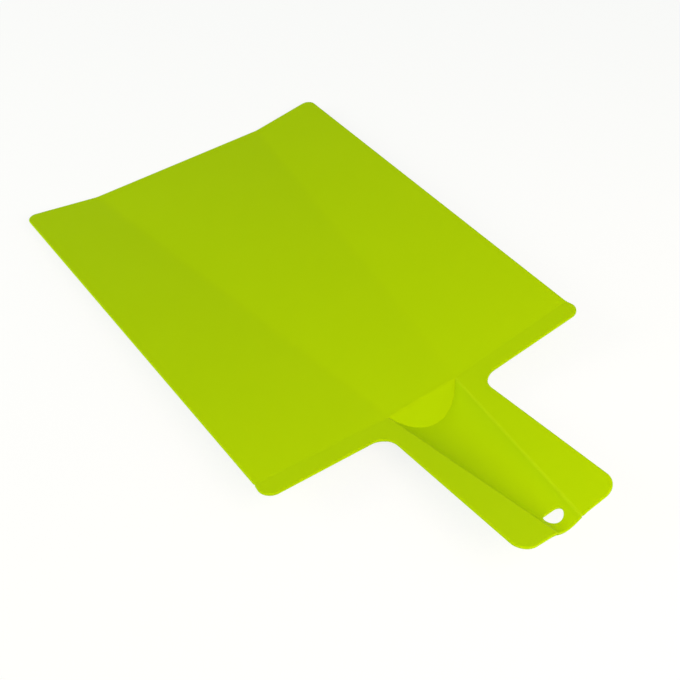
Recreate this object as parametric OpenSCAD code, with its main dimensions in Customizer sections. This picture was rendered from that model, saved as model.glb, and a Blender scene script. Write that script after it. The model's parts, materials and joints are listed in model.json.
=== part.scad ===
// Folding cutting board, moulded in one piece of polypropylene.
// Stiff panels are joined by thin living hinges, and squeezing the handle
// folds both sides of the board up into a chute.
// Millimetres, +Z up, +Y from the handle to the far edge, as it stands on a counter.

/* [Board] */
// Length of the centre panel, from the neck crease to the far edge
board_len = 334.8; // [260:0.1:400]
// Width across the far corners, opened flat
board_far_w = 271.6; // [220:0.1:320]
// Width at the outer ends of the near creases, opened flat
board_near_w = 264.6; // [215:0.1:310]
// How far the far corners reach past the centre panel's far edge
far_reach = 2.2; // [0:0.1:8]
// Distance between the board creases at the far edge
far_crease_w = 153.5; // [110:0.1:190]
// Distance between the two fold corners at the neck
neck_w = 57.4; // [46:0.1:64]
// How far each side of the board is moulded up from the centre panel, degrees
wing_tilt = 7.3; // [3:0.1:12]
// Radius of the far corners
far_corner_r = 8; // [3:0.5:20]

/* [Near lips] */
// How far the near creases run towards the handle at their outer ends
near_crease_fall = 0.6; // [0:0.1:4]
// Width across the lips' outer corners, opened flat
lip_corner_w = 269.2; // [218:0.1:316]
// Distance of the lips' outer corners from the neck crease line
lip_side_reach = 16; // [12:0.1:22]
// Distance of the neck corners from the neck crease line
lip_neck_reach = 13.5; // [11:0.1:18]
// Width across the neck corners, where the lips run into the handle
neck_corner_w = 80.4; // [74:0.1:92]
// How far each lip is moulded up from its side of the board, degrees
lip_tilt = 7.4; // [3:0.1:12]
// Radius of the near corners
near_corner_r = 9; // [3:0.5:12]
// Radius of the inner corners at the neck
neck_fillet_r = 12; // [6:0.5:16]

/* [Handle] */
// Length of the handle, from the neck crease to the end of the trough
handle_len = 140.5; // [115:0.1:170]
// Width across the handle's end corners
handle_w = 78.6; // [70:0.1:92]
// How far the end corners reach past the end of the trough
tip_reach = 2.4; // [0:0.1:6]
// Height of the end corners above the centre panel
tip_rise = 23.7; // [20:0.1:28]
// Radius of the end corners
tip_corner_r = 11; // [4:0.5:14]
// Inner radius of the trough at the neck crease
trough_neck_r = 35.7; // [33.5:0.1:40]
// Inner radius of the trough at its end
trough_tip_r = 12; // [10.5:0.1:14]
// Slope of the facet that closes the trough under the neck crease, degrees
facet_slope = 35.8; // [30:0.1:42]

/* [Hanging hole] */
// Radius of the hole's round side
hole_r = 7; // [5:0.1:8]
// Distance of the hole's flat side from the middle of its round
hole_flat = 2.8; // [2:0.1:3.4]
// Radius of the hole's two corners
hole_corner_r = 2; // [0.5:0.1:2]
// Distance of the middle of the hole's round from the end of the trough
hole_inset = 14.5; // [11:0.1:20]

/* [Sheet and hinges] */
// Thickness of the panels
sheet_t = 2; // [1.6:0.1:2.6]
// Radius of the bead on each hinge line, half the thickness of its web
bead_r = 0.25; // [0.2:0.05:0.4]
// Width of the thin web beside each hinge line
web_w = 1.2; // [1:0.1:2]
// Running clearance between a bead and the panel that turns on it
run_gap = 0.06; // [0.04:0.01:0.1]
// Clearance of the open seam between a lip and its side of the handle
seam_gap = 0.9; // [0.8:0.05:1.4]
// Radius of the small relief at each fold corner
relief_r = 1.2; // [1:0.1:1.6]

/* [Hidden] */
$fn = 64;

panel_green = [0.655, 0.790, 0.020];
hinge_green = [0.730, 0.850, 0.100];

// Overrun of every cut past the sheet that it cuts
over = 1;
// How far a rounded corner's arc runs past the lines that it meets, to cut cleanly
bite = 0.002;
// Number of strips along the twisted handle wings
strips = 24;
// Steps along a rounded corner when its reach is measured
arc_steps = 24;

// Clear space from a hinge line to the edge of the panel that turns on it
turn_gap = bead_r + run_gap;
// Relief under the fold corners, where the trough's wall passes below them
under_relief_r = relief_r + sheet_t;

// The right half of the flat pattern, seen from above
fold_pt = [neck_w / 2, 0];
far_pt = [far_crease_w / 2, board_len];
far_corner = [board_far_w / 2, board_len + far_reach];
near_pt = [board_near_w / 2, -near_crease_fall];
lip_corner = [lip_corner_w / 2, -lip_side_reach];
neck_corner = [neck_corner_w / 2, -lip_neck_reach];

// Plane geometry
function unit(v) = v / norm(v);
function flat(v) = [v[0], v[1]];
function raised(p, z) = [p[0], p[1], z];
function left_of(d) = [-d[1], d[0]];
function cross2(a, b) = a[0] * b[1] - a[1] * b[0];
// Crossing of the line through p along d with the line through q along e
function meet(p, d, q, e) = p + d * cross2(q - p, e) / cross2(d, e);
// Centre of a circle of radius r that touches both sides of the corner p1
function round_centre(p0, p1, p2, r) =
    let (a = unit(p0 - p1), b = unit(p2 - p1), m = unit(a + b))
    p1 + m * r / sqrt(1 - pow(m * a, 2));
// Where that circle touches the side from p1 towards p0
function touch(p0, p1, c) = p1 + unit(p0 - p1) * (unit(p0 - p1) * (c - p1));

// Turning in space: v about the line through p along u
function spun(v, u, a) = v * cos(a) + cross(u, v) * sin(a) + u * (u * v) * (1 - cos(a));
function turned(v, p, u, a) = p + spun(v - p, u, a);

// All four hinge lines of a fold corner meet in this point
fold_point = raised(fold_pt, -bead_r);
board_crease_dir = unit(raised(far_pt - fold_pt, 0));
near_crease_flat_dir = unit(raised(near_pt - fold_pt, 0));

function wing_placed(v) = turned(v, fold_point, board_crease_dir, -wing_tilt);
function lip_placed(v) =
    wing_placed(turned(v, fold_point, near_crease_flat_dir, -lip_tilt));

// The trough is a cone whose axis lies level, above the handle
trough_axis_z = sqrt(pow(trough_neck_r, 2) - pow(neck_w / 2, 2));
trough_half_angle = asin(neck_w / 2 / trough_neck_r);
trough_taper = atan((trough_neck_r - trough_tip_r) / handle_len);
trough_wall = sheet_t / cos(trough_taper);
// Inner radius of the trough this far from the neck crease
function trough_r(reach) = trough_neck_r - reach * tan(trough_taper);

// Corners of the right handle wing's upper face
tip_crease = [
    trough_tip_r * sin(trough_half_angle),
    -handle_len,
    trough_axis_z - trough_tip_r * cos(trough_half_angle)
];
tip_corner = [handle_w / 2, -handle_len - tip_reach, tip_rise];
neck_top = lip_placed(raised(neck_corner, 0));
crease_top = raised(fold_pt, 0);

// The ruled face of the handle wing, from its crease (s = 0) to its edge (s = 1)
function crease_at(t) = crease_top + t * (tip_crease - crease_top);
function edge_at(t) = neck_top + t * (tip_corner - neck_top);
function ruling(t) = unit(edge_at(t) - crease_at(t));
function wing_normal(t, p) =
    let (s = norm(p - crease_at(t)) / norm(edge_at(t) - crease_at(t)))
    let (along = (tip_crease - crease_top) * (1 - s) + (tip_corner - neck_top) * s)
    unit(cross(along, ruling(t)));
// Half the turn between the trough's wall and the handle wing
function mitre_at(t) = (trough_half_angle - asin(ruling(t)[2])) / 2;

// Middles of the hanging hole's small corners, and where they meet its round
hole_corner_y = hole_flat - hole_corner_r;
hole_corner_x = sqrt(pow(hole_r - hole_corner_r, 2) - pow(hole_corner_y, 2));
hole_touch = unit([hole_corner_x, hole_corner_y]) * hole_r;

// The inner corner at the neck, rounded in the lip's plane and in plan
neck_side_pt = neck_corner - [0, lip_side_reach];
neck_round = round_centre(lip_corner, neck_corner, neck_side_pt, neck_fillet_r);
neck_round_top = lip_placed(raised(neck_round, 0));
neck_round_plan = flat(neck_round_top);
seam_flat_dir = unit(neck_corner - fold_pt);
seam_plan_dir = unit(flat(neck_top) - fold_pt);

// How it stands: on the far edge and on the trough's keel under the neck facet
facet_foot_dir = [cos(facet_slope), sin(facet_slope)];
facet_foot = [
    (sheet_t - bead_r) * sin(facet_slope),
    -bead_r - (sheet_t - bead_r) * cos(facet_slope)
];
keel_start = [0, trough_axis_z - trough_neck_r - trough_wall];
keel_dir = [-cos(trough_taper), sin(trough_taper)];
keel = meet(facet_foot, facet_foot_dir, keel_start, keel_dir);
stand_tilt = atan((-sheet_t - keel[1]) / (board_len - keel[0]));
stand_lift = sheet_t * cos(stand_tilt) + board_len * sin(stand_tilt);
function stood_y(v) = v[1] * cos(stand_tilt) + v[2] * sin(stand_tilt);

// Reach of the far corner and of the handle's end corner, for the origin between them
far_round = round_centre(far_pt, far_corner, near_pt, far_corner_r);
far_end = max([
    for (i = [0:arc_steps])
        let (a = 90 * i / arc_steps)
        let (rim = far_round + far_corner_r * [cos(a), sin(a)])
        stood_y(wing_placed(raised(rim, 0)))
]);
tip_round = round_centre(flat(tip_crease), flat(tip_corner), flat(neck_top), tip_corner_r);
tip_round_share = (tip_round[0] - tip_crease[0]) / (tip_corner[0] - tip_crease[0]);
tip_round_z = tip_crease[2] + tip_round_share * (tip_corner[2] - tip_crease[2]);
near_end = stood_y(raised(tip_round - [0, tip_corner_r], tip_round_z - sheet_t));
middle_y = (far_end + near_end) / 2;

// Turns its children about the line through p along u
module turn_about(p, u, a) {
    translate(p)
        rotate(a = a, v = u)
            translate(-p)
                children();
}

// Stands the board on the counter, with the origin below the middle of its outline
module stand() {
    translate([0, -middle_y, stand_lift])
        rotate([-stand_tilt, 0, 0])
            children();
}

// Draws its children, made for the right side, on one side of the board
module on_side(side) {
    mirror([side == "left" ? 1 : 0, 0, 0])
        children();
}

module place_wing() {
    turn_about(fold_point, board_crease_dir, -wing_tilt)
        children();
}

module place_lip() {
    place_wing()
        turn_about(fold_point, near_crease_flat_dir, -lip_tilt)
            children();
}

module place_facet() {
    turn_about([0, 0, -bead_r], [1, 0, 0], facet_slope)
        children();
}

// Frame of the right handle crease: -Y runs along it to the handle's end,
// Z is the normal of the trough's wall, and X points up and out of the trough
module place_handle_crease() {
    translate([0, 0, trough_axis_z])
        rotate([0, -trough_half_angle, 0])
            translate([0, 0, -trough_neck_r])
                rotate([-trough_taper, 0, 0])
                    children();
}

// A sheet of the panels' thickness, its upper face at z = 0
module sheet() {
    translate([0, 0, -sheet_t])
        linear_extrude(height = sheet_t)
            children();
}

// What a rounded corner p1 loses
module corner_trim(p0, p1, p2, r) {
    c = round_centre(p0, p1, p2, r);
    from_side = touch(p0, p1, c);
    to_side = touch(p2, p1, c);
    difference() {
        polygon([
            p1 + unit(p1 - c) * 2 * over,
            from_side + unit(from_side - c) * over,
            c,
            to_side + unit(to_side - c) * over
        ]);
        translate(c)
            circle(r = r + bite);
    }
}

// The small round relief at a fold corner, right through the sheet
module fold_relief(r) {
    translate([fold_pt[0], fold_pt[1], -sheet_t - over])
        cylinder(r = r, h = sheet_t + 2 * over);
}

// A thin web with a bead on the hinge line, in the hinge's own frame:
// X runs along the line, and the web reaches back over -Y
module hinge_web(start, end) {
    translate([start, -web_w, -2 * bead_r])
        cube([end - start, web_w, 2 * bead_r]);
    translate([start, 0, -bead_r])
        rotate([0, 90, 0])
            cylinder(r = bead_r, h = end - start);
}

// Turns a hinge's frame so that X runs along dir and the web lies on its left
module web_frame(p, dir) {
    translate([p[0], p[1], 0])
        rotate([0, 0, atan2(dir[1], dir[0])])
            mirror([0, 1, 0])
                children();
}

// The flat middle of the board, between the two board creases
module board_centre_panel() {
    crease = flat(board_crease_dir);
    inner = fold_pt + left_of(crease) * web_w;
    near_right = meet(inner, crease, [0, web_w], [1, 0]);
    far_right = meet(inner, crease, [0, board_len], [1, 0]);
    color(panel_green)
        stand()
            difference() {
                sheet()
                    polygon([
                        near_right, far_right,
                        [-far_right[0], far_right[1]], [-near_right[0], near_right[1]]
                    ]);
                fold_relief(under_relief_r);
                mirror([1, 0, 0])
                    fold_relief(under_relief_r);
            }
}

// One side of the board, which folds up about its board crease
module board_wing(side) {
    crease = flat(board_crease_dir);
    near = flat(near_crease_flat_dir);
    crease_edge = fold_pt - left_of(crease) * turn_gap;
    near_edge = fold_pt + left_of(near) * web_w;
    fold_end = meet(crease_edge, crease, near_edge, near);
    far_crease_end = meet(crease_edge, crease, far_pt, far_corner - far_pt);
    near_side = meet(near_edge, near, near_pt, far_corner - near_pt);
    color(panel_green)
        stand()
            on_side(side)
                place_wing()
                    difference() {
                        sheet()
                            difference() {
                                polygon([fold_end, near_side, far_corner, far_crease_end]);
                                corner_trim(far_pt, far_corner, near_pt, far_corner_r);
                            }
                        fold_relief(relief_r);
                    }
}

// The narrow turned-up lip along the near edge of one side
module near_lip(side) {
    near = flat(near_crease_flat_dir);
    crease_edge = fold_pt - left_of(near) * turn_gap;
    seam_edge = fold_pt + left_of(seam_flat_dir) * seam_gap / 2;
    fold_end = meet(crease_edge, near, seam_edge, seam_flat_dir);
    near_side = meet(crease_edge, near, near_pt, lip_corner - near_pt);
    round_touch = touch(lip_corner, neck_corner, neck_round);
    seam_end = meet(seam_edge, seam_flat_dir, neck_round, left_of(seam_flat_dir));
    color(panel_green)
        stand()
            on_side(side)
                place_lip()
                    difference() {
                        sheet()
                            difference() {
                                polygon([
                                    fold_end, near_side, lip_corner,
                                    round_touch, neck_round, seam_end
                                ]);
                                corner_trim(near_pt, lip_corner, neck_corner, near_corner_r);
                                translate(neck_round)
                                    circle(r = neck_fillet_r + bite);
                            }
                        fold_relief(relief_r);
                    }
}

// The trough's outer cone, run on past the neck crease
module trough_outside() {
    translate([0, over, trough_axis_z])
        rotate([90, 0, 0])
            cylinder(
                h = over + handle_len,
                r1 = trough_r(-over) + trough_wall,
                r2 = trough_tip_r + trough_wall
            );
}

// Everything above the handle creases, and the strips beside them left to the webs
module above_creases() {
    place_handle_crease()
        translate([-web_w, -2 * handle_len, -2 * sheet_t])
            cube([4 * web_w, 3 * handle_len, 4 * sheet_t]);
}

// The sloping facet under the neck crease, which closes the trough
module neck_facet() {
    mitre = sheet_t * tan(facet_slope / 2);
    color(panel_green)
        stand()
            difference() {
                intersection() {
                    place_facet()
                        translate([-neck_w, 0, 0])
                            rotate([90, 0, 90])
                                linear_extrude(height = 2 * neck_w)
                                    polygon([
                                        [-turn_gap, 0],
                                        [-turn_gap - mitre, -sheet_t],
                                        [-trough_neck_r, -sheet_t],
                                        [-trough_neck_r, 0]
                                    ]);
                    trough_outside();
                }
                for (side = ["left", "right"])
                    on_side(side)
                        above_creases();
                for (side = ["left", "right"])
                    on_side(side)
                        translate([0, 0, -sheet_t])
                            fold_relief(under_relief_r);
            }
}

// Cuts down through the trough about the middle of the hanging hole
module hanging_cut() {
    translate([0, hole_inset - handle_len, keel[1] - over])
        linear_extrude(height = trough_axis_z - keel[1])
            children();
}

// The conical trough along the middle of the handle: a revolved sector, cut
// back beside its webs, under the neck facet and round the fold corners
module handle_trough() {
    color(panel_green)
        stand()
            difference() {
                translate([0, 0, trough_axis_z])
                    rotate([90, 0, 0])
                        rotate([0, 0, -90 - trough_half_angle])
                            rotate_extrude(angle = 2 * trough_half_angle)
                                polygon([
                                    [trough_r(turn_gap), turn_gap],
                                    [trough_r(turn_gap) + trough_wall, turn_gap],
                                    [trough_tip_r + trough_wall, handle_len],
                                    [trough_tip_r, handle_len]
                                ]);
                for (side = ["left", "right"])
                    on_side(side)
                        above_creases();
                // the trough's wall stands on the neck facet
                place_facet()
                    translate([-neck_w, -2 * trough_neck_r, -2 * neck_w])
                        cube([2 * neck_w, 4 * trough_neck_r, 2 * neck_w]);
                // the hanging hole's round, its flat side and its two corners
                hanging_cut()
                    difference() {
                        circle(r = hole_r);
                        translate([-hole_r, hole_touch[1]])
                            square([2 * hole_r, hole_r]);
                    }
                hanging_cut()
                    translate([-hole_corner_x, 0])
                        square([2 * hole_corner_x, hole_flat]);
                for (side = [-1, 1])
                    hanging_cut()
                        translate([side * hole_corner_x, hole_corner_y])
                            circle(r = hole_corner_r + bite);
                for (side = ["left", "right"])
                    on_side(side)
                        translate([0, 0, -sheet_t])
                            fold_relief(under_relief_r);
            }
}

// Sheet of the handle wing: ruled between the handle crease and the outer edge,
// run past its edge, and mitred under the crease
module handle_wing_slab() {
    spread = 1 / strips;
    inner_top = [
        for (i = [-1:strips + 1])
            let (t = i * spread)
            crease_at(t) + turn_gap * ruling(t)
    ];
    outer_top = [
        for (i = [-1:strips + 1])
            let (t = i * spread)
            edge_at(t) + neck_fillet_r * ruling(t)
    ];
    inner_under = [
        for (i = [-1:strips + 1])
            let (t = i * spread, p = inner_top[i + 1])
            p - sheet_t * wing_normal(t, p) + sheet_t * tan(mitre_at(t)) * ruling(t)
    ];
    outer_under = [
        for (i = [-1:strips + 1])
            let (t = i * spread, p = outer_top[i + 1])
            p - sheet_t * wing_normal(t, p)
    ];
    rows = len(inner_top);
    corners = concat(inner_top, outer_top, outer_under, inner_under);
    sides = [
        for (i = [0:rows - 2], k = [0:3])
            let (a = k * rows + i, b = ((k + 1) % 4) * rows + i)
            each [[a, b, b + 1], [a, b + 1, a + 1]]
    ];
    last = rows - 1;
    ends = [
        [0, 3 * rows, 2 * rows, rows],
        [last, rows + last, 2 * rows + last, 3 * rows + last]
    ];
    polyhedron(points = corners, faces = concat(sides, ends), convexity = 4);
}

// One side of the handle, which the hand squeezes up about its handle crease
module handle_wing(side) {
    seam_edge = fold_pt - left_of(seam_plan_dir) * seam_gap / 2;
    neck_plan = flat(neck_top);
    corner_plan = flat(tip_corner);
    crease_plan = flat(tip_crease);
    round_touch = touch(corner_plan, neck_plan, neck_round_plan);
    seam_end = meet(
        seam_edge, seam_plan_dir, neck_round_plan, left_of(seam_plan_dir)
    );
    fold_inside = seam_edge - seam_plan_dir * neck_fillet_r;
    tip_inside = crease_plan - [crease_plan[0], 0];
    color(panel_green)
        stand()
            on_side(side)
                difference() {
                    intersection() {
                        handle_wing_slab();
                        translate([0, 0, -neck_w])
                            linear_extrude(height = 2 * neck_w)
                                difference() {
                                    polygon([
                                        fold_inside, tip_inside, crease_plan, corner_plan,
                                        round_touch, neck_round_plan, seam_end
                                    ]);
                                    corner_trim(
                                        crease_plan, corner_plan, neck_plan, tip_corner_r
                                    );
                                    translate(neck_round_plan)
                                        circle(r = neck_fillet_r + bite);
                                }
                    }
                    fold_relief(relief_r);
                }
}

// Living hinge between the centre panel and one side of the board
module board_hinge(side) {
    color(hinge_green)
        stand()
            on_side(side)
                translate([fold_pt[0], fold_pt[1], 0])
                    rotate([0, 0, atan2(board_crease_dir[1], board_crease_dir[0])])
                        mirror([0, 1, 0])
                            hinge_web(under_relief_r, norm(far_pt - fold_pt) - web_w);
}

// Living hinge between one side of the board and its near lip
module lip_hinge(side) {
    dir = near_crease_flat_dir;
    color(hinge_green)
        stand()
            on_side(side)
                place_wing()
                    translate([fold_pt[0], fold_pt[1], 0])
                        rotate([0, 0, atan2(dir[1], dir[0])])
                            mirror([0, 1, 0])
                                hinge_web(under_relief_r, norm(near_pt - fold_pt) - web_w);
}

// Living hinge between the trough and one side of the handle
module handle_hinge(side) {
    axis_x = -bead_r * sin(trough_half_angle);
    axis_z = -bead_r * cos(trough_half_angle) * cos(trough_taper);
    start = -under_relief_r;
    length = handle_len / cos(trough_taper) - under_relief_r - web_w;
    color(hinge_green)
        stand()
            on_side(side)
                place_handle_crease() {
                    translate([-web_w, start - length, -2 * bead_r])
                        cube([web_w + axis_x, length, 2 * bead_r]);
                    translate([axis_x, start, axis_z])
                        rotate([90, 0, 0])
                            cylinder(r = bead_r, h = length);
                }
}

// Living hinge between the centre panel and the neck facet
module neck_hinge() {
    half = neck_w / 2 - under_relief_r;
    color(hinge_green)
        stand()
            mirror([0, 1, 0])
                hinge_web(-half, half);
}

board_centre_panel();
board_wing("left");  // left_board_wing
board_wing("right");  // right_board_wing
near_lip("left");  // left_near_lip
near_lip("right");  // right_near_lip
neck_facet();
handle_trough();
handle_wing("left");  // left_handle_wing
handle_wing("right");  // right_handle_wing
board_hinge("left");  // left_board_hinge
board_hinge("right");  // right_board_hinge
lip_hinge("left");  // left_lip_hinge
lip_hinge("right");  // right_lip_hinge
handle_hinge("left");  // left_handle_hinge
handle_hinge("right");  // right_handle_hinge
neck_hinge();
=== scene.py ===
"""Folding cutting board in lime polypropylene, with its studio.

Every panel is a sheet with rounded rims. The panels are joined by thin moulded
hinges, bent smoothly between the panels beside them.
"""

import json
import math

import bpy
import numpy as np
from bpy.props import FloatProperty, FloatVectorProperty, IntProperty, PointerProperty
from bpy.types import Operator, Panel, PropertyGroup
from mathutils import Matrix, Vector
from mathutils.geometry import delaunay_2d_cdt


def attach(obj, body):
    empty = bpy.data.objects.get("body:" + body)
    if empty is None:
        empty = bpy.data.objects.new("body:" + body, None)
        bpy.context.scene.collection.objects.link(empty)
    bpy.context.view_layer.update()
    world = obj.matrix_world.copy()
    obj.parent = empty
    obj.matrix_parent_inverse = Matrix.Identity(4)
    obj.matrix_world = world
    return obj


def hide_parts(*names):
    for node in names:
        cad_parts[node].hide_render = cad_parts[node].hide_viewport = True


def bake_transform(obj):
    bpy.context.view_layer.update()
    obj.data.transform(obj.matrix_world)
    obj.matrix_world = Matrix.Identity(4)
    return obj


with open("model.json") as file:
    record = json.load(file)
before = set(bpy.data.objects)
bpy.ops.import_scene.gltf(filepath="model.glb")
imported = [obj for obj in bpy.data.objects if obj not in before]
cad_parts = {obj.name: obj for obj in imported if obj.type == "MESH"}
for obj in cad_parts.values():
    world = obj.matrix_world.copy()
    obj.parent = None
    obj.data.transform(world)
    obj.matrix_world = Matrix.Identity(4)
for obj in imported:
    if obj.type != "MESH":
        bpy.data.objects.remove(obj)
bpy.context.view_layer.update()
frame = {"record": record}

bl_info = {
    "name": "Folding Cutting Board",
    "version": (1, 0, 0),
    "blender": (4, 5, 0),
    "location": "3D View > Sidebar > Cutting Board",
    "description": "Builds a folding cutting board with moulded hinges and its studio",
    "category": "Object",
}

RECORD = frame["record"]
JOINTS = {joint["name"]: joint for joint in RECORD["behaviour"]["joints"]}
RIGHT, LEFT = 1, -1
SIDE_NAMES = {RIGHT: "right", LEFT: "left"}
SIDEWAYS = np.array([1.0, 0.0])

# Meshes, in metres where they are lengths
TINY = 1e-5  # for slopes and for depths that count as equal
POINT_GAP = 0.0008  # from an outline to the nearest inner point
ROW_GAP = 0.00012  # from an outline to the nearest point of an inner row
ROW_STEP = 0.01  # along a soft bend
WEB_STEP = 0.012  # along a hinge
WEB_ROWS = (-0.75, -0.5, -0.25, 0.0, 0.25, 0.5, 0.75)  # shares of its half width
EDGE_STEP = 0.005  # along the outer edges of the handle
END_STEP = 0.001  # along the end of the handle
CREASE_POINTS = 36  # along the handle crease
WALL_POINTS = 40  # along the trough's borders
END_POINTS = 31  # across the trough's end
LENS_STEPS = 28  # from a corner of the facet to its bottom
HOLE_POINTS = 49  # round the hanging hole, up to its corners
HOLE_CORNER_POINTS = 9  # round each of its corners
BEND_ROWS = 5  # beside a board crease
TROUGH_GRID = (44, 19)  # inner points along and across the trough
HANDLE_GRID = (40, 10)  # the same for a side of the handle
GRID_REACH = 1.2  # how far across that grid runs, in widths of the side
RIM_ANGLES = np.radians([0, 18, 36, 54, 72, 90])  # round a rim, from its top
GROOVE_ANGLES = np.radians([40, 70, 90])  # the same beside a groove
STRAIGHT_ON = 0.985  # cosine of a turn that counts as none
SMOOTH_TURN = 0.8  # cosine of the sharpest turn that is shaded smoothly
HALVINGS = 60  # steps that close in on a turning place
FACE_TRIES = 12  # steps that find a place on the twisted side of the handle
HANDLE_BEND_SHARE = 0.7  # share of a handle hinge's half width at which the points beside its crease lie

# Studio
PICTURE_PX = 680  # width and height of the picture
SENSOR_MM = 36.0
NEAREST = 0.01  # where the camera's view begins
FLOOR_HALF = 4.0
FLOOR_DROP = 0.0002  # keeps the floor clear of the board
PAPER = (0.92, 0.92, 0.92, 1.0)
GROUND_WHITE = 0.85  # share of the white ground that takes no shadow
BACKDROP = (0.888, 0.896, 0.888, 1.0)  # as pale as the far floor, so its edge is lost
LIT_PLACE = (0.0, -0.05, 0.0)  # where the soft boxes point
# Each soft box, its place and its width
SOFT_BOXES = (
    ("near", (0.0, -0.69, 0.64), 0.6),
    ("left", (-1.06, 0.66, 0.59), 0.8),
    ("right", (0.9, -0.95, 0.59), 0.8),
)


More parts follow.
